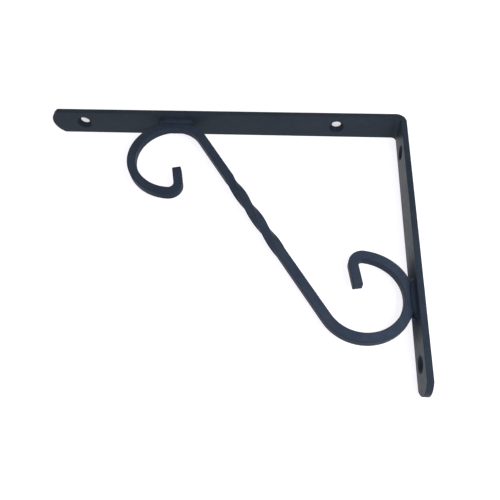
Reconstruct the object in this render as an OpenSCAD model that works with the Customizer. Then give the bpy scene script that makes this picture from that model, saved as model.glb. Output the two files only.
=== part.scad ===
/* [Angle bar] */
// Length of the arm under the shelf, from the wall face to its tip
arm_length = 200; // [180:1:260]
// Length of the leg on the wall, from the shelf face to its tip
leg_length = 150; // [135:1:200]
// Width of the flat bar
bar_width = 16; // [12:0.5:25]
// Thickness of the flat bar
bar_thickness = 3; // [2.5:0.25:4]
// Radius inside the bend at the corner
bend_inside_r = 2.5; // [1:0.5:8]
// How far the rounded nose at the arm's tip stands out
arm_nose = 4.6; // [2:0.2:6]
// How far the rounded nose at the leg's tip stands out
leg_nose = 4; // [2:0.2:6]
// Break along the edges of the flat bar
bar_edge = 0.3; // [0.1:0.1:0.6]

/* [Screw holes] */
// Diameter of the screw holes
hole_d = 5; // [3.5:0.5:6]
// Diameter of the countersinks on the inner faces
sink_d = 8.5; // [6.5:0.5:9.5]
// From the wall face to the arm's hole near the corner
arm_hole_near = 36.8; // [16:0.1:60]
// From the arm's tip to its far hole
arm_hole_tip = 18.5; // [16:0.5:30]
// From the shelf face to the leg's upper hole
leg_hole_upper = 20.5; // [14:0.5:40]
// From the leg's tip to its lower hole
leg_hole_tip = 13.5; // [11:0.5:18]

/* [Scroll bar] */
// Side of the square bar
rod_size = 4.75; // [3:0.25:6]
// Break along the edges of the square bar
rod_edge = 0.4; // [0.1:0.1:0.8]
// From the wall face to where the upper curl touches the arm
arm_contact = 127; // [115:0.5:140]
// From the shelf face to where the lower curl touches the leg
leg_contact = 106; // [98:0.5:115]
// Straight stretch between the upper curl and the twist
twist_start = 32.7; // [25:0.1:45]
// Length of each quarter turn of the twist
quarter_turn = 17.4; // [12:0.2:19]
// Number of quarter turns in the twist
quarter_turns = 3; // [1:1:4]
// Break round the cut ends of the square bar
tail_edge = 0.7; // [0.3:0.1:1]

/* [Upper curl] */
// Middle radius where the curl leaves the straight and touches the arm
upper_first_r = 18.6; // [17:0.1:21]
// Middle radius round the side of the curl
upper_side_r = 22.1; // [20:0.1:24]
// Middle radius where the curl comes back round
upper_last_r = 24.1; // [22:0.1:27]
// Middle radius of the hook at the end
upper_hook_r = 5; // [4:0.1:7]
// Angle turned at the first radius
upper_first_turn = 64.9; // [60:0.1:75]
// Angle turned round the side
upper_side_turn = 99.6; // [90:0.1:110]
// Angle turned coming back round
upper_last_turn = 69.6; // [60:0.1:75]
// Angle turned by the hook
upper_hook_turn = 104.9; // [95:0.1:115]
// Straight tail after the hook
upper_tail = 9.8; // [6:0.2:13]

/* [Lower curl] */
// Middle radius where the curl leaves the straight and touches the leg
lower_first_r = 20.4; // [18:0.2:22]
// Middle radius where the curl comes back round
lower_last_r = 22.6; // [21:0.1:27]
// Middle radius of the hook at the end
lower_hook_r = 4.5; // [4:0.1:7]
// Angle turned at the first radius
lower_first_turn = 194.2; // [185:0.2:200]
// Angle turned coming back round
lower_last_turn = 37.2; // [30:0.1:45]
// Angle turned by the hook
lower_hook_turn = 104.9; // [95:0.1:115]
// Straight tail after the hook
lower_tail = 11; // [6:0.2:13]

/* [Welds] */
// How far a weld bead reaches up each of the two bars that it joins
weld_leg = 2.2; // [1:0.1:2.5]
// Length of the straight middle of a weld bead
weld_body = 14; // [4:0.2:16]
// Depth of a bead's round centre inside each bar, which flattens the bead
weld_depth = 0.6; // [0.2:0.1:1.2]

/* [Hidden] */
$fn = 96;
arm_hole_far = arm_length - arm_hole_tip;
leg_hole_lower = leg_length - leg_hole_tip;
// Height of the shelf face above the origin, which lies midway between the leg's holes on the wall face
shelf_z = (leg_hole_upper + leg_hole_lower) / 2;
bend_outside_r = bend_inside_r + bar_thickness;
sink_depth = (sink_d - hole_d) / 2;
// How far a cutting shape runs past the face that it cuts
past = 1;
// Steps of the twist for each quarter turn
twist_steps = 18;

// Centres of the arcs that touch the arm and the leg, as x and z from the corner
upper_centre = [-arm_contact, -bar_thickness - upper_first_r - rod_size / 2];
lower_centre = [-bar_thickness - lower_first_r - rod_size / 2, -leg_contact];
// The straight crosses between the curls, so it touches them on opposite sides
between = lower_centre - upper_centre;
slope = atan2(between[1], between[0]) - asin((upper_first_r + lower_first_r) / norm(between));
straight_side = [-sin(slope), cos(slope)];
straight_top = upper_centre + upper_first_r * straight_side;
straight_foot = lower_centre - lower_first_r * straight_side;
twist_length = quarter_turn * quarter_turns;
plain_below_twist = norm(straight_foot - straight_top) - twist_start - twist_length;

weld_r = norm([weld_leg + weld_depth, weld_depth]);

paint = [0.19, 0.22, 0.28];
weld_paint = [0.16, 0.19, 0.24];

// ---- Flat bar ----

// Section of the flat bar: x from the inner face to the outer face, y across the width
module bar_section() {
    side = bar_width / 2;
    outer = bar_thickness;
    polygon([
        [0, bar_edge - side], [bar_edge, -side], [outer - bar_edge, -side], [outer, bar_edge - side],
        [outer, side - bar_edge], [outer - bar_edge, side], [bar_edge, side], [0, side - bar_edge]
    ]);
}

// Everything short of a rounded nose that ends at x = length and breaks the edges round the tip
module nose_limit(length, nose) {
    nose_r = (pow(bar_width / 2, 2) + nose * nose) / (2 * nose);
    rim = nose_r - bar_edge - past;
    translate([length - nose_r, 0, 0])
        rotate_extrude()
            polygon([
                [0, -bar_thickness - past], [rim, -bar_thickness - past], [nose_r, bar_edge - bar_thickness],
                [nose_r, -bar_edge], [rim, past], [0, past]
            ]);
    translate([0, -bar_width / 2 - past, -bar_thickness - past])
        cube([length - nose_r, bar_width + 2 * past, bar_thickness + 2 * past]);
}

// Screw hole through a bar whose outer face is z = 0, countersunk from the inner face
module screw_hole() {
    translate([0, 0, -bar_thickness - past])
        cylinder(d = hole_d, h = bar_thickness + 2 * past);
    translate([0, 0, -bar_thickness - past])
        cylinder(d1 = sink_d + 2 * past, d2 = hole_d, h = sink_depth + past);
}

// Straight limb along +X, from the end of the bend to its tip, with the outer face up at z = 0
module limb(length, nose, holes) {
    difference() {
        intersection() {
            translate([bend_outside_r, 0, 0])
                rotate([90, 0, 90])
                    linear_extrude(length)
                        translate([0, -bar_thickness])
                            rotate(90)
                                mirror([0, 1])
                                    bar_section();
            nose_limit(length, nose);
        }
        for (place = holes)
            translate([place, 0, 0])
                screw_hole();
    }
}

module angle_bar() {
    color(paint)
        translate([0, 0, shelf_z]) {
            rotate([0, 0, 180])
                limb(arm_length, arm_nose, [arm_hole_near, arm_hole_far]);
            rotate([0, 90, 0])
                limb(leg_length, leg_nose, [leg_hole_upper, leg_hole_lower]);
            translate([-bend_outside_r, 0, -bend_outside_r])
                rotate([90, 0, 0])
                    rotate_extrude(angle = 90)
                        translate([bend_inside_r, 0])
                            bar_section();
        }
}

// ---- Square bar ----

module rod_section() {
    side = rod_size / 2;
    corner = side - rod_edge;
    polygon([
        [-corner, -side], [corner, -side], [side, -corner], [side, corner],
        [corner, side], [-corner, side], [-side, corner], [-side, -corner]
    ]);
}

// Straight stretch along +X, with what follows it drawn at its end
module run(length) {
    rotate([90, 0, 90])
        linear_extrude(length)
            rod_section();
    translate([length, 0, 0])
        children();
}

// Draws its children at the end of a bend to the left that starts along +X
module at_bend_end(radius, angle) {
    translate([0, radius, 0])
        rotate(angle)
            translate([0, -radius, 0])
                children();
}

// Everything on the +x side of x = 0 that a bend's ring can reach
module ahead(radius) {
    reach = radius + rod_size;
    translate([0, -rod_size, -rod_size])
        cube([reach, radius + reach, 2 * rod_size]);
}

// Bend to the left from +X by less than 180 degrees, with what follows it drawn at its end.
// It is cut from a whole ring by planes through its two ends, so it meets both its neighbours exactly.
module bend(radius, angle) {
    intersection() {
        translate([0, radius, 0])
            rotate(180)
                rotate_extrude()
                    translate([radius, 0])
                        rod_section();
        ahead(radius);
        at_bend_end(radius, angle)
            mirror([1, 0, 0])
                ahead(radius);
    }
    at_bend_end(radius, angle)
        children();
}

// Twisted stretch along +X, with what follows it drawn at its end
module twist() {
    rotate([90, 0, 90])
        linear_extrude(
            twist_length, twist = -90 * quarter_turns, slices = twist_steps * quarter_turns, segments = 8
        )
            rod_section();
    translate([twist_length, 0, 0])
        children();
}

// Straight tail along +X with the edges broken round its cut end
module tail(length) {
    side = rod_size / 2;
    intersection() {
        run(length + past);
        intersection_for(turn = [0, 90])
            rotate([turn, 0, 0])
                linear_extrude(rod_size + 2 * past, center = true)
                    polygon([
                        [-past, -side - past], [length - tail_edge - past, -side - past],
                        [length, tail_edge - side], [length, side - tail_edge],
                        [length - tail_edge - past, side + past], [-past, side + past]
                    ]);
    }
}

// The bar lies in the x-z plane and is drawn both ways from where the upper curl meets the straight
module scroll_bar() {
    color(paint)
        translate([0, 0, shelf_z])
            rotate([90, 0, 0]) {
                translate(straight_top)
                    rotate(slope)
                        rotate(180)
                            bend(upper_first_r, upper_first_turn)
                                bend(upper_side_r, upper_side_turn)
                                    bend(upper_last_r, upper_last_turn)
                                        bend(upper_hook_r, upper_hook_turn)
                                            tail(upper_tail);
                translate(straight_top)
                    rotate(slope)
                        run(twist_start)
                            twist()
                                run(plain_below_twist)
                                    bend(lower_first_r, lower_first_turn / 2)
                                        bend(lower_first_r, lower_first_turn / 2)
                                            bend(lower_last_r, lower_last_turn)
                                                bend(lower_hook_r, lower_hook_turn)
                                                    tail(lower_tail);
            }
}

// ---- Welds ----

// What lies between two places along x in the corner between a face overhead at z = 0 and a side face at y = 0
module in_corner(from, to) {
    intersection() {
        children();
        translate([from, -weld_leg - past, -weld_leg - past])
            cube([to - from, weld_leg + past, weld_leg + past]);
    }
}

// Bead along x in that corner, with rounded ends
module weld_bead() {
    half = weld_body / 2;
    in_corner(-half, half)
        translate([0, weld_depth, weld_depth])
            rotate([0, 90, 0])
                cylinder(r = weld_r, h = weld_body + 2 * past, center = true);
    for (end = [0, 1])
        mirror([end, 0, 0])
            in_corner(half, half + weld_r)
                translate([half, weld_depth, weld_depth])
                    sphere(r = weld_r);
}

module arm_weld() {
    color(weld_paint)
        translate([-arm_contact, -rod_size / 2, shelf_z - bar_thickness])
            weld_bead();
}

module leg_weld() {
    color(weld_paint)
        translate([-bar_thickness, -rod_size / 2, shelf_z - leg_contact])
            rotate([0, 90, 0])
                weld_bead();
}

module arm_weld_front() {
    arm_weld();
}

module arm_weld_back() {
    mirror([0, 1, 0])
        arm_weld();
}

module leg_weld_front() {
    leg_weld();
}

module leg_weld_back() {
    mirror([0, 1, 0])
        leg_weld();
}

angle_bar();
scroll_bar();
arm_weld_front();
arm_weld_back();
leg_weld_front();
leg_weld_back();
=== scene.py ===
"""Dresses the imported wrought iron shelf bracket: its two bars, its four welds, its paint and its studio.

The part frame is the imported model's own. The wall face is the plane x = 0 and the arm runs along -X under the shelf,
z points up, and y runs across the bars. All lengths are in metres.
"""

import logging
import math
from collections.abc import Callable, Mapping
from dataclasses import dataclass, field
from enum import Enum
from typing import Any

import bmesh
import bpy
from mathutils import Matrix, Vector


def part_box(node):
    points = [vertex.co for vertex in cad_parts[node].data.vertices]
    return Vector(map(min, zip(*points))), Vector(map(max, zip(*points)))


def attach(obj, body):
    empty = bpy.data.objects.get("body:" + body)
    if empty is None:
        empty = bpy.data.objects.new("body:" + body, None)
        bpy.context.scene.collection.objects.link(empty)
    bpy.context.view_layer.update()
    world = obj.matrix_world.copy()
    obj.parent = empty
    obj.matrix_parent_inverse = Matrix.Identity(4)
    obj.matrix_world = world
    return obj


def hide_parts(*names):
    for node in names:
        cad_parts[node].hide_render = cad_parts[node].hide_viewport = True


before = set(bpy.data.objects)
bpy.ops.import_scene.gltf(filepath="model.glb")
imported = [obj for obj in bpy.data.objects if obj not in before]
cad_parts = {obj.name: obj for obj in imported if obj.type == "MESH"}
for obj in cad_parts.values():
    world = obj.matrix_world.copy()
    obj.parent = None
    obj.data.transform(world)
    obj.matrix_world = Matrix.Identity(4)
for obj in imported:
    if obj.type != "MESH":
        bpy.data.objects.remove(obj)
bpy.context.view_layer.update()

MM = 0.001
# Two points that are closer than this are one.
TOUCH = 0.01 * MM
ORIGIN = (0.0, 0.0, 0.0)
ACROSS = (0.0, 1.0, 0.0)
BODY = "root"

Triple = Vector | tuple[float, float, float]

log = logging.getLogger("shelf_bracket")


class Side(Enum):
    """The two sides of the bars, as the sign of y."""

    FRONT = -1
    BACK = 1


class Bar(Enum):
    """The two limbs of the angle bar, with the turn in degrees that brings a bead under the arm there."""

    ARM = 0
    LEG = 90

    @property
    def along(self) -> Vector:
        """The direction from the corner to the limb's tip."""
        return Vector((-1.0, 0.0, 0.0)) if self is Bar.ARM else Vector((0.0, 0.0, -1.0))

    @property
    def outward(self) -> Vector:
        """The direction that the limb's outer face looks in."""
        return Vector((0.0, 0.0, 1.0)) if self is Bar.ARM else Vector((1.0, 0.0, 0.0))


# ---- Mesh work ----


def deselect_all() -> None:
    """Leaves object mode with nothing selected."""
    if bpy.context.object and bpy.context.object.mode != "OBJECT":
        bpy.ops.object.mode_set(mode="OBJECT")
    bpy.ops.object.select_all(action="DESELECT")


def activate(piece: bpy.types.Object) -> None:
    """Selects one piece alone, in object mode, and makes it the active one.

    Args:
        piece: The object to select.
    """
    deselect_all()
    piece.select_set(True)
    bpy.context.view_layer.objects.active = piece


def edit(piece: bpy.types.Object) -> None:
    """Opens a piece in edit mode."""
    activate(piece)
    bpy.ops.object.mode_set(mode="EDIT")


def close() -> None:
    """Turns the normals of the open piece outward and leaves edit mode."""
    select_all()
    bpy.ops.mesh.normals_make_consistent(inside=False)
    bpy.ops.object.mode_set(mode="OBJECT")


def select_all() -> None:
    """Selects all of the open piece."""
    bpy.ops.mesh.select_all(action="SELECT")


def new_piece(name: str) -> bpy.types.Object:
    """Names the primitive that was just added, settles its place in its mesh and opens it with all selected.

    Args:
        name: The name of the piece.

    Returns:
        The piece, open in edit mode.
    """
    piece = bpy.context.object
    piece.name = name
    piece.data.name = name
    bpy.ops.object.transform_apply(location=True, rotation=True, scale=True)
    edit(piece)
    select_all()
    return piece


def select_faces(piece: bpy.types.Object, wanted: Callable[[bmesh.types.BMFace], bool]) -> None:
    """Selects only the faces of an open piece that pass a test.

    Args:
        piece: The piece, open in edit mode.
        wanted: The test of one face.
    """
    bpy.ops.mesh.select_all(action="DESELECT")
    mesh = bmesh.from_edit_mesh(piece.data)
    for face in mesh.faces:
        if wanted(face):
            face.select_set(True)
    bmesh.update_edit_mesh(piece.data)


def move_selected(way: Triple) -> None:
    """Moves what is selected by a vector."""
    bpy.ops.transform.translate(value=tuple(way))


def draw_out(way: Triple) -> None:
    """Draws the selected face out by a vector, with new sides behind it."""
    bpy.ops.mesh.extrude_region_move(TRANSFORM_OT_translate={"value": tuple(way)})


def turn_selected(angle: float, axis: str, centre: Triple = ORIGIN) -> None:
    """Turns what is selected by the right-hand rule; with no window the operator itself turns the other way.

    Args:
        angle: The turn in radians.
        axis: "X", "Y" or "Z".
        centre: The point that the turn keeps in place.
    """
    bpy.ops.transform.rotate(value=-angle, orient_axis=axis, orient_type="GLOBAL", center_override=tuple(centre))


def stretch_selected(scale: tuple[float, float, float], centre: Triple = ORIGIN) -> None:
    """Scales what is selected along X, Y and Z about a point."""
    bpy.ops.transform.resize(value=scale, orient_type="GLOBAL", center_override=tuple(centre))


def apply_modifier(piece: bpy.types.Object, kind: str, **settings: Any) -> None:
    """Adds one modifier to a piece and applies it.

    Args:
        piece: The piece.
        kind: The modifier's type.
        **settings: The modifier's own settings.
    """
    activate(piece)
    modifier = piece.modifiers.new(kind.lower(), kind)
    for name, value in settings.items():
        setattr(modifier, name, value)
    bpy.ops.object.modifier_apply(modifier=modifier.name)


def keep_inside(piece: bpy.types.Object, limit: bpy.types.Object) -> None:
    """Keeps what of a piece lies inside a closed shape, and removes that shape."""
    apply_modifier(piece, "BOOLEAN", operation="INTERSECT", solver="EXACT", object=limit)
    bpy.data.objects.remove(limit, do_unlink=True)


def flat_scale(normal: Vector, scale: float) -> tuple[float, float, float]:
    """Gives the scale along X, Y and Z that acts only across a normal, which lies along an axis."""
    return tuple(1.0 if round(part) else scale for part in normal)


def ring_on_face(piece: bpy.types.Object, centre: Vector, normal: Vector, radius: float) -> None:
    """Turns the point at a place on an open piece's flat face into a round face, and leaves that selected.

    Args:
        piece: The piece, open in edit mode, with a point at that place where four edges meet.
        centre: The place.
        normal: The direction of the flat face.
        radius: The radius of the round face.
    """
    quarter_steps = 18
    fullness = 0.15
    bpy.context.tool_settings.mesh_select_mode = (True, False, False)
    bpy.ops.mesh.select_all(action="DESELECT")
    mesh = bmesh.from_edit_mesh(piece.data)
    for vertex in mesh.verts:
        if (vertex.co - centre).length < TOUCH:
            vertex.select_set(True)
    bmesh.update_edit_mesh(piece.data)
    bpy.ops.mesh.bevel(
        offset=radius, offset_type="OFFSET", affect="VERTICES", segments=quarter_steps, profile=fullness
    )
    bpy.context.tool_settings.mesh_select_mode = (False, False, True)
    bpy.ops.mesh.dissolve_faces()
    bpy.ops.transform.tosphere(value=1.0, center_override=tuple(centre))
    mesh = bmesh.from_edit_mesh(piece.data)
    ring = next(face for face in mesh.faces if face.select)
    made = sum((vertex.co - centre).length for vertex in ring.verts) / len(ring.verts)
    stretch_selected(flat_scale(normal, radius / made), centre)


def soften(piece: bpy.types.Object, width: float) -> None:
    """Rounds a piece's sharp edges, shades it smooth and marks the rounded edges for the paint.

    Args:
        piece: The finished shape.
        width: How far the rounding reaches along each face.
    """
    rounded_past = math.radians(40.0)
    sharp_past = math.radians(30.0)
    large_faces_first = 80
    paint = 0
    rounded = 1
    piece.data.materials.clear()
    for _ in range(2):
        piece.data.materials.append(None)
    piece.data.polygons.foreach_set("material_index", [paint] * len(piece.data.polygons))
    apply_modifier(
        piece,
        "BEVEL",
        width=width,
        segments=3,
        limit_method="ANGLE",
        angle_limit=rounded_past,
        use_clamp_overlap=False,
        miter_outer="MITER_SHARP",
        material=rounded,
    )
    mark_edges(piece, rounded)
    piece.data.materials.clear()
    activate(piece)
    bpy.ops.object.shade_smooth_by_angle(angle=sharp_past)
    apply_modifier(piece, "WEIGHTED_NORMAL", mode="FACE_AREA", weight=large_faces_first, keep_sharp=True)


def mark_edges(piece: bpy.types.Object, rounded: int) -> None:
    """Writes the point attribute "edge": 1 along the middle of each rounded edge and 0 elsewhere.

    Args:
        piece: The piece, whose rounded faces have a material index of their own.
        rounded: That index, which is set back to 0 afterwards.
    """
    mesh = piece.data
    inside = [1.0] * len(mesh.vertices)
    for face in mesh.polygons:
        if face.material_index != rounded:
            for vertex in face.vertices:
                inside[vertex] = 0.0
        face.material_index = 0
    mesh.attributes.new("edge", "FLOAT", "POINT").data.foreach_set("value", inside)


def dress(piece: bpy.types.Object, node: str, material: bpy.types.Material) -> None:
    """Gives a finished piece its material and lets it stand for its CAD node.

    Args:
        piece: The finished piece.
        node: The CAD node that it stands for, which is hidden.
        material: The finish.
    """
    deselect_all()
    piece.data.materials.clear()
    piece.data.materials.append(material)
    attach(piece, BODY)
    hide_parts(node)
    low, high = piece_box(piece)
    log.info("%s: %d faces, from %s to %s m", piece.name, len(piece.data.polygons), tuple(low), tuple(high))


def piece_box(piece: bpy.types.Object) -> tuple[Vector, Vector]:
    """Gives the box of a piece whose place is in its mesh.

    Args:
        piece: The piece.

    Returns:
        The box's lowest and highest corners.
    """
    places = [vertex.co for vertex in piece.data.vertices]
    low = Vector(min(place[axis] for place in places) for axis in range(3))
    high = Vector(max(place[axis] for place in places) for axis in range(3))
    return low, high


@dataclass
class DrawnEnd:
    """The open end of a bar that is being drawn out in the x-z plane; its end face stays selected.

    Attributes:
        x: The middle of the end face along X.
        z: The same along Z.
        heading: The direction that the bar runs in, in degrees from +X towards +Z.
        step: The largest turn in degrees between two sections of a bend.
    """

    x: float
    z: float
    heading: float
    step: float = 3.0

    @property
    def middle(self) -> Vector:
        """The middle of the end face."""
        return Vector((self.x, 0.0, self.z))

    def direction(self, offset: float = 0.0) -> Vector:
        """The unit vector at an angle in degrees to the heading."""
        angle = math.radians(self.heading + offset)
        return Vector((math.cos(angle), 0.0, math.sin(angle)))

    def move_to(self, place: Vector) -> None:
        """Takes a point as the new middle of the end face."""
        self.x, self.z = place.x, place.z

    def run(self, length: float) -> None:
        """Draws the bar straight on.

        Args:
            length: The length of the straight.
        """
        way = self.direction() * length
        draw_out(way)
        self.move_to(self.middle + way)

    def bend(self, radius: float, angle: float) -> None:
        """Bends the bar.

        Args:
            radius: The radius at the middle of the bar.
            angle: The turn in degrees, above 0 to the left as seen from the front.
        """
        to_centre = self.direction(math.copysign(90.0, angle)) * radius
        centre = self.middle + to_centre
        steps = math.ceil(abs(angle) / self.step)
        bpy.ops.mesh.spin(steps=steps, angle=math.radians(angle), center=tuple(centre), axis=ACROSS)
        self.heading += angle
        self.move_to(centre - self.direction(math.copysign(90.0, angle)) * radius)

    def twist(self, length: float, angle: float, steps: int) -> None:
        """Twists the bar about its own middle line as it runs on along +X.

        Args:
            length: The length of the twisted stretch.
            angle: The whole turn in degrees, right-handed.
            steps: The number of sections.
        """
        for _ in range(steps):
            self.run(length / steps)
            turn_selected(math.radians(angle / steps), "X", self.middle)


# ---- Angle bar ----


@dataclass
class AngleBar:
    """The flat bar that is bent to a right angle, with countersunk screw holes and rounded tips.

    Attributes:
        low: The lowest corner of the CAD node's box.
        high: The highest corner, where the shelf face meets the wall face.
        thickness: The thickness of the flat bar.
        bend_inside_r: The radius inside the bend.
        arm_nose: How far the arm's rounded tip stands out.
        leg_nose: How far the leg's rounded tip stands out.
        hole_d: The diameter of the screw holes.
        sink_d: The diameter of the countersinks on the inner faces.
        screw_holes: The places of each limb's holes, from the corner.
        edge: How far the rounding of the edges reaches.
        tip_facets: The number of sides of the full rounds that shape the tips.
    """

    low: Vector
    high: Vector
    thickness: float = 3.0 * MM
    bend_inside_r: float = 2.5 * MM
    arm_nose: float = 4.6 * MM
    leg_nose: float = 4.0 * MM
    hole_d: float = 5.0 * MM
    sink_d: float = 8.5 * MM
    screw_holes: dict[Bar, tuple[float, float]] = field(
        default_factory=lambda: {Bar.ARM: (36.8 * MM, 181.5 * MM), Bar.LEG: (20.5 * MM, 136.5 * MM)}
    )
    edge: float = 0.34 * MM
    tip_facets: int = 168

    @property
    def arm_length(self) -> float:
        """From the wall face to the arm's tip."""
        return self.high.x - self.low.x

    @property
    def leg_length(self) -> float:
        """From the shelf face to the leg's tip."""
        return self.high.z - self.low.z

    @property
    def width(self) -> float:
        """Across the flat bar."""
        return self.high.y - self.low.y

    def bent_bar(self) -> bpy.types.Object:
        """Draws the square-cut bar along the arm, round the bend and down the leg.

        Returns:
            The bent bar.
        """
        bend_r = self.bend_inside_r + self.thickness / 2
        outside = self.bend_inside_r + self.thickness
        end = DrawnEnd(self.low.x, self.high.z - self.thickness / 2, 0.0)
        deselect_all()
        bpy.ops.mesh.primitive_plane_add(size=1.0, location=end.middle, rotation=(0.0, math.radians(90.0), 0.0))
        bar = new_piece("angle_bar_painted")
        stretch_selected((1.0, self.width, self.thickness), end.middle)
        end.run(self.arm_length - outside)
        end.bend(bend_r, -90.0)
        end.run(self.leg_length - outside)
        close()
        return bar

    def tip_limit(self, length: float, nose: float) -> bpy.types.Object:
        """Makes the long round-ended block that rounds the tip of a limb along -X.

        Args:
            length: From the corner to the tip.
            nose: How far the rounded tip stands out.

        Returns:
            The block, with the corner of the bar at the origin.
        """
        radius = ((self.width / 2) ** 2 + nose**2) / (2 * nose)
        centre = Vector((radius - length, 0.0, 0.0))
        reach = 2 * max(self.arm_length, self.leg_length)
        ahead = 0.01
        deselect_all()
        bpy.ops.mesh.primitive_cylinder_add(
            vertices=self.tip_facets, radius=radius, depth=2 * reach, location=centre
        )
        block = new_piece("tip_limit")
        select_faces(block, lambda face: face.normal.x > ahead)
        move_selected((reach, 0.0, 0.0))
        close()
        return block

    def split(self, bar: bpy.types.Object) -> None:
        """Splits the faces along the middle of the bar and across it at each hole, so that each hole has its point.

        Args:
            bar: The bar with its rounded tips.
        """
        edit(bar)
        cuts = [(ORIGIN, ACROSS)]
        cuts += [(tuple(self.on_outer_face(limb, place)), tuple(limb.along)) for limb, place in self.holes()]
        for place, normal in cuts:
            select_all()
            bpy.ops.mesh.bisect(plane_co=place, plane_no=normal)
        select_all()
        bpy.ops.mesh.remove_doubles(threshold=TOUCH)
        bpy.ops.object.mode_set(mode="OBJECT")

    def holes(self) -> list[tuple[Bar, float]]:
        """Lists the screw holes, each as its limb and its distance from the corner."""
        return [(limb, place) for limb, places in self.screw_holes.items() for place in places]

    def on_outer_face(self, limb: Bar, place: float) -> Vector:
        """Gives the point on the middle of a limb's outer face at a distance from the corner."""
        return Vector((self.high.x, 0.0, self.high.z)) + limb.along * place

    def drill(self, bar: bpy.types.Object, limb: Bar, place: float) -> None:
        """Makes one countersunk hole from a circle on each face of the bar.

        Args:
            bar: The bar, split at the hole.
            limb: The limb that the hole is in.
            place: The distance of the hole from the corner.
        """
        outer = self.on_outer_face(limb, place)
        inner = outer - limb.outward * self.thickness
        sink = limb.outward * (self.sink_d - self.hole_d) / 2
        ends = (inner + sink, outer)
        edit(bar)
        ring_on_face(bar, outer, limb.outward, self.hole_d / 2)
        ring_on_face(bar, inner, limb.outward, self.sink_d / 2)
        draw_out(sink)
        stretch_selected(flat_scale(limb.outward, self.hole_d / self.sink_d), inner)
        select_faces(bar, lambda face: min((face.calc_center_median() - end).length for end in ends) < TOUCH)
        bpy.ops.mesh.bridge_edge_loops()
        bpy.ops.object.mode_set(mode="OBJECT")

    def place_on(self, shape: bpy.types.Object, limb: Bar) -> bpy.types.Object:
        """Brings a shape that was made for the arm, with the corner at the origin, to a limb.

        Args:
            shape: The shape.
            limb: The limb that it is for.

        Returns:
            The same shape.
        """
        edit(shape)
        select_all()
        if limb is Bar.LEG:
            stretch_selected((-1.0, 1.0, 1.0))
            turn_selected(math.radians(90.0), "Y")
        move_selected((self.high.x, 0.0, self.high.z))
        close()
        return shape

    def mark_painted_hole_shade(self, bar: bpy.types.Object) -> None:
        """Writes the point attribute "painted_hole_shade": 1 in the screw holes and their countersinks, where the
        paint is darkened as painted shade; "edge" is cleared there.

        Args:
            bar: The finished bar.
        """
        reach = self.sink_d / 2 + 2 * self.edge
        mesh = bar.data
        mesh.attributes.new("painted_hole_shade", "FLOAT", "POINT")
        painted_hole_shade, edge = mesh.attributes["painted_hole_shade"].data, mesh.attributes["edge"].data
        for limb, place in self.holes():
            outer = self.on_outer_face(limb, place)
            for vertex in mesh.vertices:
                away = vertex.co - outer
                across = (away - limb.outward * away.dot(limb.outward)).length
                if across < reach:
                    edge[vertex.index].value = 0.0
                    painted_hole_shade[vertex.index].value = 1.0 if across < self.sink_d / 2 - self.edge / 2 else 0.0

    def build(self, material: bpy.types.Material) -> None:
        """Makes the angle bar.

        Args:
            material: Its finish.
        """
        bar = self.bent_bar()
        for limb, length, nose in (
            (Bar.ARM, self.arm_length, self.arm_nose),
            (Bar.LEG, self.leg_length, self.leg_nose),
        ):
            keep_inside(bar, self.place_on(self.tip_limit(length, nose), limb))
        self.split(bar)
        for limb, place in self.holes():
            self.drill(bar, limb, place)
        soften(bar, self.edge)
        # Marks the holes, where the paint is darkened as painted shade.
        self.mark_painted_hole_shade(bar)
        dress(bar, "angle_bar", material)


# ---- Scroll bar ----


@dataclass
class Curl:
    """One end of the scroll bar: bends of growing radius, then a tight hook and a straight tail.

    Attributes:
        bends: The radius at the middle of the bar and the turn in degrees of each bend, from the straight on.
        tail: The length of the tail.
    """

    bends: tuple[tuple[float, float], ...]
    tail: float

    def draw(self, end: DrawnEnd) -> None:
        """Draws the curl from the selected end face of the bar.

        Args:
            end: That end of the bar.
        """
        for radius, angle in self.bends:
            end.bend(radius, angle)
        end.run(self.tail)


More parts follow.
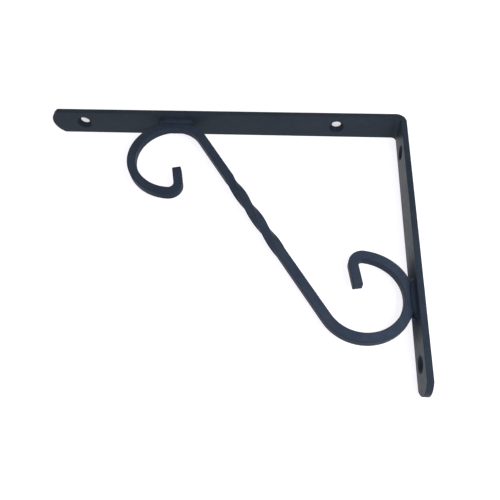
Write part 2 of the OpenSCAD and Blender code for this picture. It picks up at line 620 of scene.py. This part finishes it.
@dataclass
class ScrollBar:
    """The square bar between the arm and the leg, with a twist in the middle and a curl at each end.

    Attributes:
        corner: The corner where the shelf face meets the wall face.
        bar_thickness: The thickness of the angle bar that it touches.
        size: The side of the square bar.
        arm_contact: From the wall face to where the upper curl touches the arm.
        leg_contact: From the shelf face to where the lower curl touches the leg.
        twist_start: The plain stretch between the upper curl and the twist.
        twist_length: The length of the twist.
        twist_turn: The whole turn of the twist in degrees.
        twist_steps: The number of sections that it is drawn in.
        upper: The curl under the arm.
        lower: The curl beside the leg.
        edge: How far the rounding of the edges reaches.
    """

    corner: Vector
    bar_thickness: float
    size: float = 4.75 * MM
    arm_contact: float = 127.0 * MM
    leg_contact: float = 106.0 * MM
    twist_start: float = 32.7 * MM
    twist_length: float = 52.2 * MM
    twist_turn: float = 270.0
    twist_steps: int = 90
    upper: Curl = field(
        default_factory=lambda: Curl(
            ((18.6 * MM, 64.9), (22.1 * MM, 99.6), (24.1 * MM, 69.6), (5.0 * MM, 104.9)), 9.8 * MM
        )
    )
    lower: Curl = field(
        default_factory=lambda: Curl(((20.4 * MM, 194.2), (22.6 * MM, 37.2), (4.5 * MM, 104.9)), 11.0 * MM)
    )
    edge: float = 0.45 * MM

    def straight(self) -> tuple[Vector, float, float]:
        """Works out the straight that touches the first bends of both curls on opposite sides.

        Returns:
            Where it leaves the upper curl, its slope in radians and its length.
        """
        upper_r, lower_r = self.upper.bends[0][0], self.lower.bends[0][0]
        reach = self.bar_thickness + self.size / 2
        upper_centre = self.corner + Vector((-self.arm_contact, 0.0, -reach - upper_r))
        lower_centre = self.corner + Vector((-reach - lower_r, 0.0, -self.leg_contact))
        between = lower_centre - upper_centre
        slope = math.atan2(between.z, between.x) - math.asin((upper_r + lower_r) / between.length)
        side = Vector((-math.sin(slope), 0.0, math.cos(slope)))
        top = upper_centre + side * upper_r
        foot = lower_centre - side * lower_r
        return top, slope, (foot - top).length

    def build(self, material: bpy.types.Material) -> None:
        """Draws the bar both ways from where the upper curl meets the straight, then lays it on its slope.

        Args:
            material: Its finish.
        """
        top, slope, length = self.straight()
        deselect_all()
        bpy.ops.mesh.primitive_plane_add(size=self.size, rotation=(0.0, math.radians(90.0), 0.0))
        bar = new_piece("scroll_bar_painted")
        end = DrawnEnd(0.0, 0.0, 0.0)
        end.run(self.twist_start)
        end.twist(self.twist_length, self.twist_turn, self.twist_steps)
        end.run(length - self.twist_start - self.twist_length)
        self.lower.draw(end)
        select_faces(bar, lambda face: face.calc_center_median().length < TOUCH)
        self.upper.draw(DrawnEnd(0.0, 0.0, 180.0))
        select_all()
        turn_selected(-slope, "Y")
        move_selected(top)
        close()
        soften(bar, self.edge)
        dress(bar, "scroll_bar", material)


# ---- Welds ----


@dataclass
class WeldBead:
    """A fillet bead, modelled once in the corner between a face overhead at z = 0 and a side face at y = 0.

    Attributes:
        leg: How far the bead reaches up each bar.
        body: The length of its straight middle.
        taper: How much longer than round its ends are.
        depth: How deep the middle of its round section lies in each bar.
        sunk: How far the bead bites into the face overhead.
        root: How far it reaches in past the side face, where it fills the wedge between the bars.
        ripple: The height of the ripples.
        pitch: The distance between ripples.
        crest: Their shape: 1 is a half wave, and less is a flatter crest with a sharper valley.
        rings: The number of sections along the bead.
        facets: The number of sides of its round section.
        sharp_past: The angle in degrees from which an edge is shaded sharp.
    """

    leg: float = 2.2 * MM
    body: float = 8.0 * MM
    taper: float = 2.0
    depth: float = 0.6 * MM
    sunk: float = 0.25 * MM
    root: float = 2.2 * MM
    ripple: float = 0.06 * MM
    pitch: float = 1.05 * MM
    crest: float = 0.6
    rings: int = 128
    facets: int = 48
    sharp_past: float = 40.0

    @property
    def radius(self) -> float:
        """The radius of the bead's round section."""
        return math.hypot(self.leg + self.depth, self.depth)

    def radius_at(self, x: float) -> float:
        """Gives the radius of the section at a place along the bead, with its ripple.

        Args:
            x: The place from the bead's middle.

        Returns:
            The radius there.
        """
        beyond = max(abs(x) - self.body / 2, 0.0) / self.taper
        plain = math.sqrt(max(self.radius**2 - beyond**2, 0.0))
        phase = (x / self.pitch) % 1.0
        return plain - self.ripple * (1.0 - math.sin(math.pi * phase) ** self.crest)

    def master(self) -> bpy.types.Object:
        """Models the bead.

        Returns:
            The bead, along x.
        """
        half = self.body / 2 + self.taper * math.sqrt(self.radius**2 - (2 * self.depth) ** 2 / 2)
        places = [half * (2 * ring / self.rings - 1) for ring in range(self.rings + 1)]
        middle = (0.0, self.depth, self.depth)
        deselect_all()
        bpy.ops.mesh.primitive_circle_add(
            vertices=self.facets,
            radius=self.radius_at(places[0]),
            fill_type="NGON",
            location=(places[0], self.depth, self.depth),
            rotation=(0.0, math.radians(90.0), 0.0),
        )
        bead = new_piece("weld_bead")
        for before, after in zip(places, places[1:]):
            draw_out((after - before, 0.0, 0.0))
            scale = self.radius_at(after) / self.radius_at(before)
            stretch_selected((1.0, scale, scale), middle)
        for place, normal in (((0.0, self.root, 0.0), ACROSS), ((0.0, 0.0, self.sunk), (0.0, 0.0, 1.0))):
            select_all()
            bpy.ops.mesh.bisect(plane_co=place, plane_no=normal, use_fill=True, clear_outer=True, threshold=TOUCH)
        close()
        return bead


@dataclass
class Welds:
    """The beads on both sides of the scroll bar where it touches the arm and the leg.

    Attributes:
        corner: The corner where the shelf face meets the wall face.
        bars: The scroll bar, with its contacts and its size.
        bead: The bead that all four are copies of.
    """

    corner: Vector
    bars: ScrollBar
    bead: WeldBead = field(default_factory=WeldBead)

    def place(self, master: bpy.types.Object, name: str, limb: Bar, side: Side) -> bpy.types.Object:
        """Copies the bead to one side of the bar on one limb.

        Args:
            master: The bead as modelled.
            name: The name of the copy.
            limb: The limb that it lies on.
            side: The side of the scroll bar.

        Returns:
            The copy, with a mesh of its own.
        """
        distance = self.bars.arm_contact if limb is Bar.ARM else self.bars.leg_contact
        contact = self.corner + limb.along * distance - limb.outward * self.bars.bar_thickness
        copy = master.copy()
        copy.data = master.data.copy()
        copy.name = copy.data.name = name
        bpy.context.collection.objects.link(copy)
        edit(copy)
        select_all()
        move_selected((0.0, -self.bars.size / 2, 0.0))
        if side is Side.BACK:
            stretch_selected((1.0, -1.0, 1.0))
        turn_selected(math.radians(limb.value), "Y")
        move_selected(contact)
        close()
        copy.data.attributes.new("edge", "FLOAT", "POINT")
        activate(copy)
        bpy.ops.object.shade_smooth_by_angle(angle=math.radians(self.bead.sharp_past))
        return copy

    def build(self, material: bpy.types.Material) -> None:
        """Makes the four welds.

        Args:
            material: Their finish.
        """
        master = self.bead.master()
        for limb in Bar:
            for side in Side:
                node = f"{limb.name.lower()}_weld_{side.name.lower()}"
                dress(self.place(master, f"{node}_painted", limb, side), node, material)
        bpy.data.objects.remove(master, do_unlink=True)


# ---- Shader graphs ----

Settings = Mapping[str, Any] | None
Sockets = Mapping[str | int, Any] | None


@dataclass(frozen=True)
class Value:
    """A number in a shader graph, on which Python's operators add Math nodes.

    Attributes:
        graph: The graph that the number is in.
        socket: The output that gives it.
    """

    graph: "Graph"
    socket: bpy.types.NodeSocket

    def math(self, operation: str, *others: "Value | float") -> "Value":
        """Adds one Math node on this number and others and gives its result."""
        return self.graph.maths(operation, self, *others)

    def __add__(self, other: "Value | float") -> "Value":
        """Adds."""
        return self.math("ADD", other)

    __radd__ = __add__

    def __sub__(self, other: "Value | float") -> "Value":
        """Subtracts."""
        return self.math("SUBTRACT", other)

    def __rsub__(self, other: float) -> "Value":
        """Subtracts from a plain number."""
        return self.graph.maths("SUBTRACT", other, self)

    def __mul__(self, other: "Value | float") -> "Value":
        """Multiplies."""
        return self.math("MULTIPLY", other)

    __rmul__ = __mul__

    def smooth(self, low: float, high: float) -> "Value":
        """Gives 0 up to low, 1 from high on, and a smooth rise between."""
        sockets = {"Value": self, "From Min": low, "From Max": high}
        return self.graph.read("ShaderNodeMapRange", "Result", {"interpolation_type": "SMOOTHSTEP"}, sockets)


@dataclass(frozen=True)
class Noise:
    """The patches of a soft noise, from 0 to 1.

    Attributes:
        size: Their size.
        detail: How many finer layers they have.
        roughness: How strong those are.
        between: The two levels that are drawn apart to 0 and 1, if any.
    """

    size: float
    detail: float = 2.0
    roughness: float = 0.5
    between: tuple[float, float] | None = None


@dataclass(frozen=True)
class Graph:
    """Adds nodes to the node tree of one material or world.

    Attributes:
        tree: The node tree.
    """

    tree: bpy.types.NodeTree

    @classmethod
    def start(cls, owner: bpy.types.Material | bpy.types.World) -> "Graph":
        """Empties the node tree of a material or world and gives its graph."""
        owner.use_nodes = True
        owner.node_tree.nodes.clear()
        return cls(owner.node_tree)

    def node(self, kind: str, settings: Settings = None, sockets: Sockets = None) -> bpy.types.Node:
        """Adds a node.

        Args:
            kind: The node's type.
            settings: Its own settings, which are set first.
            sockets: A value, number or link for each input, by name or number.

        Returns:
            The node.
        """
        node = self.tree.nodes.new(kind)
        for name, value in (settings or {}).items():
            setattr(node, name, value)
        for name, value in (sockets or {}).items():
            socket = node.inputs[name]
            if isinstance(value, Value):
                self.tree.links.new(value.socket, socket)
            elif isinstance(value, bpy.types.NodeSocket):
                self.tree.links.new(value, socket)
            else:
                socket.default_value = value
        return node

    def read(self, kind: str, output: str | int, settings: Settings = None, sockets: Sockets = None) -> Value:
        """Adds a node, as node() does, and gives one of its outputs as a number."""
        return Value(self, self.node(kind, settings, sockets).outputs[output])

    def maths(self, operation: str, *numbers: Value | float) -> Value:
        """Adds one Math node and gives its result."""
        return self.read("ShaderNodeMath", 0, {"operation": operation}, dict(enumerate(numbers)))

    def ray(self, kind: str) -> Value:
        """Gives 1 for the rays of one kind, such as "Camera", and 0 for the others."""
        return self.read("ShaderNodeLightPath", f"Is {kind} Ray")

    def place(self) -> bpy.types.NodeSocket:
        """Gives the place on the object, in the part frame."""
        return self.node("ShaderNodeTexCoord").outputs["Object"]

    def along(self, axis: str, vector: bpy.types.NodeSocket) -> Value:
        """Gives the "X", "Y" or "Z" of a vector."""
        return self.read("ShaderNodeSeparateXYZ", axis, None, {0: vector})

    def mix(self, amount: Value, low: Any, high: Any) -> bpy.types.NodeSocket:
        """Mixes two colours, each a value or a link: amount 0 gives the first and 1 the second."""
        # The node's inputs 6 and 7 and its output 2 are the ones for colours.
        return self.node("ShaderNodeMix", {"data_type": "RGBA"}, {0: amount, 6: low, 7: high}).outputs[2]

    def noise(self, place: bpy.types.NodeSocket, noise: Noise) -> Value:
        """Adds a soft noise.

        Args:
            place: The coordinates that it reads.
            noise: Its patches.

        Returns:
            The noise.
        """
        sockets = {"Vector": place, "Scale": 1.0 / noise.size, "Detail": noise.detail, "Roughness": noise.roughness}
        plain = self.read("ShaderNodeTexNoise", 0, {"noise_dimensions": "3D"}, sockets)
        return plain.smooth(*noise.between) if noise.between else plain


def colour(red: float, green: float, blue: float) -> tuple[float, float, float, float]:
    """Gives a linear colour as a socket takes it."""
    return (red, green, blue, 1.0)


@dataclass(frozen=True)
class IronPaint:
    """Satin blue-black paint on wrought iron.

    Attributes:
        name: The material's name.
        deep: The colour where the paint is thick.
        light: The colour where it is thin or dusty.
        edge: The colour along the rounded edges, a painted dark line of shade there.
        gloss: The specular level.
        smooth: The lowest roughness.
        rough: The highest roughness.
        clouds: The wide patches of thinner paint.
        mottle: The small patches.
        dust: The specks of dust.
        grain: The paint's grain.
        marks: The forging marks under it.
        thin_shares: How much the clouds, the mottle and the dust lighten the colour.
        rough_shares: How much the mottle, the clouds and the grain raise the roughness.
        edge_least: The share of the edge colour where there is no mottle.
        mark_height: How high the marks stand.
        grain_height: The same of the grain.
        mottle_height: The same of the mottle.
        painted_hole_shade: The colour in the screw holes and countersinks, painted darker as the shade in those
            recesses.
        weld_shade_at: The middle of a weld round which the bar's inner face has painted shade and rougher paint, if
            any.
        painted_weld_shade: The colour there, painted darker as shade.
        matt_rough: The highest roughness there.
        weld_shade_reach: The distances from the weld between which it ends.
        weld_shade_across: The distances from the bar's middle between which it ends.
        weld_shade_depth: The depths in the bar between which it ends.
    """

    name: str
    deep: tuple[float, float, float, float] = colour(0.018, 0.027, 0.041)
    light: tuple[float, float, float, float] = colour(0.033, 0.044, 0.060)
    edge: tuple[float, float, float, float] = colour(0.022, 0.031, 0.048)
    gloss: float = 0.12
    smooth: float = 0.38
    rough: float = 0.55
    clouds: Noise = Noise(28 * MM, 3.0, between=(0.32, 0.68))
    mottle: Noise = Noise(3.2 * MM, 4.0, 0.6, (0.3, 0.72))
    dust: Noise = Noise(1.3 * MM, 5.0, 0.65, (0.62, 0.8))
    grain: Noise = Noise(0.55 * MM)
    marks: Noise = Noise(7.5 * MM)
    thin_shares: tuple[float, float, float] = (0.35, 0.35, 0.25)
    rough_shares: tuple[float, float, float] = (0.55, 0.25, 0.2)
    edge_least: float = 0.35
    mark_height: float = 0.10 * MM
    grain_height: float = 0.012 * MM
    mottle_height: float = 0.018 * MM
    painted_hole_shade: tuple[float, float, float, float] = colour(0.011, 0.017, 0.031)
    weld_shade_at: Vector | None = None
    painted_weld_shade: tuple[float, float, float, float] = colour(0.014, 0.021, 0.042)
    matt_rough: float = 0.95
    weld_shade_reach: tuple[float, float] = (8 * MM, 25 * MM)
    weld_shade_across: tuple[float, float] = (7.0 * MM, 7.8 * MM)
    weld_shade_depth: tuple[float, float] = (0.4 * MM, 1.0 * MM)

    def material(self) -> bpy.types.Material:
        """Builds the material.

        Returns:
            The material, which reads Object coordinates and the attributes "edge" and "bore".
        """
        material = bpy.data.materials.new(self.name)
        graph = Graph.start(material)
        place = graph.place()
        clouds, mottle, dust, grain, marks = (
            graph.noise(place, noise) for noise in (self.clouds, self.mottle, self.dust, self.grain, self.marks)
        )
        thin = clouds * self.thin_shares[0] + mottle * self.thin_shares[1] + dust * self.thin_shares[2]
        # Painted shade: the rounded edges take a darker colour, a painted line of shade, broken up by the mottle.
        painted_edge_shade = self.attribute(graph, "edge") * (self.edge_least + (1.0 - self.edge_least) * mottle)
        paint = graph.mix(thin, self.deep, self.light)
        paint = graph.mix(painted_edge_shade, paint, self.edge)
        # Painted shade: the screw holes and countersinks are painted darker, for the shade in them.
        paint = graph.mix(self.attribute(graph, "painted_hole_shade"), paint, self.painted_hole_shade)
        uneven = mottle * self.rough_shares[0] + clouds * self.rough_shares[1] + grain * self.rough_shares[2]
        roughness = self.smooth + (self.rough - self.smooth) * uneven
        # Painted shade: beside the leg weld the inner face is painted darker, as the curl shades it there, and its
        # paint is rougher.
        if self.weld_shade_at is not None:
            painted_shade_and_rough = self.shade_and_rough_near_weld(graph, place)
            paint = graph.mix(painted_shade_and_rough, paint, self.painted_weld_shade)
            roughness = roughness + (self.matt_rough - self.rough) * painted_shade_and_rough
        height = marks * self.mark_height + grain * self.grain_height + mottle * self.mottle_height
        bump = graph.node("ShaderNodeBump", None, {"Height": height, "Strength": 1.0, "Distance": 1.0})
        shader = graph.node(
            "ShaderNodeBsdfPrincipled",
            None,
            {
                "Base Color": paint,
                "Roughness": roughness,
                "Specular IOR Level": self.gloss,
                "Normal": bump.outputs[0],
            },
        )
        graph.node("ShaderNodeOutputMaterial", None, {"Surface": shader.outputs[0]})
        return material

    def attribute(self, graph: Graph, name: str) -> Value:
        """Reads a point attribute of the mesh, which is 0 where the mesh has none."""
        return graph.read("ShaderNodeAttribute", "Fac", {"attribute_name": name})

    def shade_and_rough_near_weld(self, graph: Graph, place: bpy.types.NodeSocket) -> Value:
        """Gives where the leg's inner face has painted shade and rougher paint, from its distance to the weld and from
        the edges.

        Args:
            graph: The material's graph.
            place: The coordinates on the bar.

        Returns:
            1 beside the weld and 0 away from it, on the edges and on the outer face.
        """
        ends = {0: place, 1: tuple(self.weld_shade_at)}
        distance = graph.read("ShaderNodeVectorMath", "Value", {"operation": "DISTANCE"}, ends)
        across = graph.along("Y", place).math("ABSOLUTE")
        outward = graph.along("X", place) - self.weld_shade_at.x
        inner_face = (1.0 - across.smooth(*self.weld_shade_across)) * (1.0 - outward.smooth(*self.weld_shade_depth))
        return (1.0 - distance.smooth(*self.weld_shade_reach)) * inner_face


# ---- Studio ----


@dataclass
class Camera:
    """The camera, by its place, its turn and its lens.

    Attributes:
        place: Where it stands.
        yaw: The turn about the vertical in degrees, from looking along +Y.
        pitch: The tilt upwards in degrees.
        roll: The turn about its own axis in degrees.
        lens: The focal length in millimetres.
        sensor: The width of the sensor in millimetres.
        nearest: The distance from which it sees.
    """

    place: tuple[float, float, float] = (-0.06036, -0.21810, -0.12692)
    yaw: float = 5.048
    pitch: float = 29.100
    roll: float = 4.538
    lens: float = 36.94
    sensor: float = 36.0
    nearest: float = 0.01

    def build(self) -> None:
        """Makes the scene's camera."""
        yaw, pitch, roll = (math.radians(angle) for angle in (self.yaw, self.pitch, self.roll))
        ahead = Vector((-math.sin(yaw) * math.cos(pitch), math.cos(yaw) * math.cos(pitch), math.sin(pitch)))
        level = Vector((math.cos(yaw), math.sin(yaw), 0.0))
        upright = level.cross(ahead)
        right = math.cos(roll) * level + math.sin(roll) * upright
        up = math.cos(roll) * upright - math.sin(roll) * level
        data = bpy.data.cameras.new("camera")
        data.sensor_width = self.sensor
        data.lens = self.lens
        data.clip_start = self.nearest
        camera = bpy.data.objects.new("camera", data)
        turn = Matrix((right, up, -ahead)).transposed().to_4x4()
        camera.matrix_world = Matrix.Translation(self.place) @ turn
        bpy.context.scene.collection.objects.link(camera)
        bpy.context.scene.camera = camera


@dataclass(frozen=True)
class Lamp:
    """A square lamp that leaves no glint on the bracket.

    Attributes:
        name: Its name.
        place: Where it hangs.
        size: Its side.
        power: Its power in watts.
    """

    name: str
    place: tuple[float, float, float]
    size: float
    power: float

    def build(self, aim: Vector) -> None:
        """Adds the lamp.

        Args:
            aim: The point that it faces.
        """
        data = bpy.data.lights.new(self.name, "AREA")
        data.size = self.size
        data.energy = self.power
        lamp = bpy.data.objects.new(self.name, data)
        lamp.location = self.place
        lamp.visible_camera = False
        lamp.visible_glossy = False
        lamp.rotation_euler = (aim - Vector(self.place)).to_track_quat("-Z", "Y").to_euler()
        bpy.context.scene.collection.objects.link(lamp)


@dataclass
class Studio:
    """The plain pale surroundings: a white surface close behind the bracket, a floor and soft light.

    Attributes:
        back: The plane behind the bracket that its far edges touch.
        shelf: The height of the bracket's shelf face.
        arm_length: The length of the bracket's arm.
        middle_x: The middle of the surface behind along X.
        floor: The height of the floor.
        reach: Half the width of the floor.
        ambient: The level of the light from all round.
        ahead: The level that glossy surfaces show from the front.
        around: The level that they show from the back.
        turning: The Y of the directions between which these levels change over.
        lamps: A large one on the left, a small one near the lower curl and a large one behind.
        aim: The point that the lamps face.
        tint: The colour of the pale surfaces in shadow.
        shade_foot: How far below the shelf face the shade over the arm begins.
        shade_height: The heights over the shelf face between which it fades out.
        shade_tip: The distances from the arm's tip between which it rises.
        shade_wall: The places along X between which it fades out.
    """

    back: float
    shelf: float
    arm_length: float
    middle_x: float = -0.08
    floor: float = -0.5
    reach: float = 1.5
    ambient: float = 0.43
    ahead: float = 0.4
    around: float = 1.0
    turning: tuple[float, float] = (-0.4, 0.3)
    lamps: tuple[Lamp, ...] = (
        Lamp("key", (-1.1, 0.0, 0.1), 0.7, 3.0),
        Lamp("fill", (0.07, -0.22, -0.12), 0.15, 0.7),
        Lamp("behind", (0.3, 0.9, 0.7), 0.8, 4.5),
    )
    aim: tuple[float, float, float] = (-0.09, 0.0, 0.0)
    tint: tuple[float, float, float] = (0.975, 0.96, 1.0)
    shade_foot: float = 0.5 * MM
    shade_height: tuple[float, float] = (4 * MM, 15 * MM)
    shade_tip: tuple[float, float] = (2 * MM, 10 * MM)
    shade_wall: tuple[float, float] = (-10 * MM, -3 * MM)

    def over_arm(self, graph: Graph) -> Value:
        """Gives the deep shade in the corner between the arm's shelf face and the surface behind it.

        Args:
            graph: The material's graph.

        Returns:
            1 in the corner and 0 away from the arm.
        """
        place = graph.place()
        height = graph.along("Z", place) - self.shelf
        along = graph.along("X", place)
        upright = height.smooth(-self.shade_foot, 0.0) * (1.0 - height.smooth(*self.shade_height))
        tip = along.smooth(*(distance - self.arm_length for distance in self.shade_tip))
        return upright * (tip * (1.0 - along.smooth(*self.shade_wall)))

    def pale(self, name: str, share: float, level: float, shade: float = 0.0) -> bpy.types.Material:
        """Makes the pale stage material, which looks white where it is lit and keeps soft shadows.

        Args:
            name: The material's name.
            share: How much of the white comes from the light on it.
            level: How much of it is there in the deepest shadow.
            shade: How much of that is gone in the corner over the arm.

        Returns:
            The material, which is clear from behind.
        """
        material = bpy.data.materials.new(name)
        graph = Graph.start(material)
        seen = graph.ray("Camera").math("MAXIMUM", graph.ray("Glossy"))
        lit = graph.node("ShaderNodeBsdfDiffuse", None, {"Color": colour(share, share, share)})
        strength = seen * level * (1.0 - shade * self.over_arm(graph))
        white = graph.node("ShaderNodeEmission", None, {"Color": colour(*self.tint), "Strength": strength})
        pale = graph.node("ShaderNodeAddShader", None, {0: lit.outputs[0], 1: white.outputs[0]})
        behind = graph.read("ShaderNodeNewGeometry", "Backfacing")
        clear = graph.node("ShaderNodeBsdfTransparent")
        shader = graph.node("ShaderNodeMixShader", None, {0: behind, 1: pale.outputs[0], 2: clear.outputs[0]})
        graph.node("ShaderNodeOutputMaterial", None, {"Surface": shader.outputs[0]})
        return material

    def surfaces(self) -> None:
        """Makes the white surface behind the bracket and the floor."""
        deselect_all()
        bpy.ops.mesh.primitive_plane_add(
            size=1.0, location=(self.middle_x, self.back, 0.0), rotation=(math.radians(90.0), 0.0, 0.0)
        )
        backdrop = new_piece("backdrop")
        bpy.ops.object.mode_set(mode="OBJECT")
        backdrop.data.materials.append(self.pale("backdrop_white", share=0.4, level=0.86, shade=0.4))
        for ray in ("diffuse", "glossy", "transmission", "shadow"):
            setattr(backdrop, f"visible_{ray}", False)
        deselect_all()
        bpy.ops.mesh.primitive_plane_add(size=2 * self.reach, location=(0.0, 0.0, self.floor))
        floor = new_piece("floor")
        bpy.ops.object.mode_set(mode="OBJECT")
        floor.data.materials.append(self.pale("floor_white", share=0.7, level=0.68))

    def world(self) -> None:
        """Makes the white surroundings, with a plain level for the light on the bracket."""
        world = bpy.data.worlds.new("studio")
        bpy.context.scene.world = world
        graph = Graph.start(world)
        direction = graph.node("ShaderNodeTexCoord").outputs["Generated"]
        backward = graph.along("Y", direction).smooth(*self.turning)
        plain = graph.ray("Camera").math("MAXIMUM", graph.ray("Transmission"))
        reflected = self.ahead + (self.around - self.ahead) * backward
        lit = self.ambient + graph.ray("Glossy") * (reflected - self.ambient)
        strength = lit + plain * (1.0 - lit)
        back = graph.node("ShaderNodeBackground", None, {"Color": colour(1, 1, 1), "Strength": strength})
        graph.node("ShaderNodeOutputWorld", None, {"Surface": back.outputs[0]})

    def build(self) -> None:
        """Makes the stage, the light and the camera."""
        self.surfaces()
        self.world()
        for lamp in self.lamps:
            lamp.build(Vector(self.aim))
        bpy.context.scene.view_settings.view_transform = "Standard"
        Camera().build()


def main() -> None:
    """Builds the bracket's pieces and its studio."""
    logging.basicConfig(level=logging.INFO, format="%(name)s: %(message)s")
    low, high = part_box("angle_bar")
    corner = Vector((high.x, 0.0, high.z))
    angle_bar = AngleBar(low, high)
    scroll_bar = ScrollBar(corner, angle_bar.thickness)
    leg_weld = corner - Vector((angle_bar.thickness, 0.0, scroll_bar.leg_contact))
    # The angle bar gets painted shade beside the leg weld.
    angle_bar.build(IronPaint("angle_bar_paint", weld_shade_at=leg_weld).material())
    rod_paint = IronPaint("scroll_bar_paint", colour(0.026, 0.037, 0.059), colour(0.044, 0.057, 0.085), gloss=0.04)
    scroll_bar.build(rod_paint.material())
    weld_paint = IronPaint("weld_paint", colour(0.017, 0.025, 0.046), colour(0.028, 0.038, 0.062))
    Welds(corner, scroll_bar).build(weld_paint.material())
    Studio(high.y, high.z, angle_bar.arm_length).build()


if __name__ == "__main__":
    main()
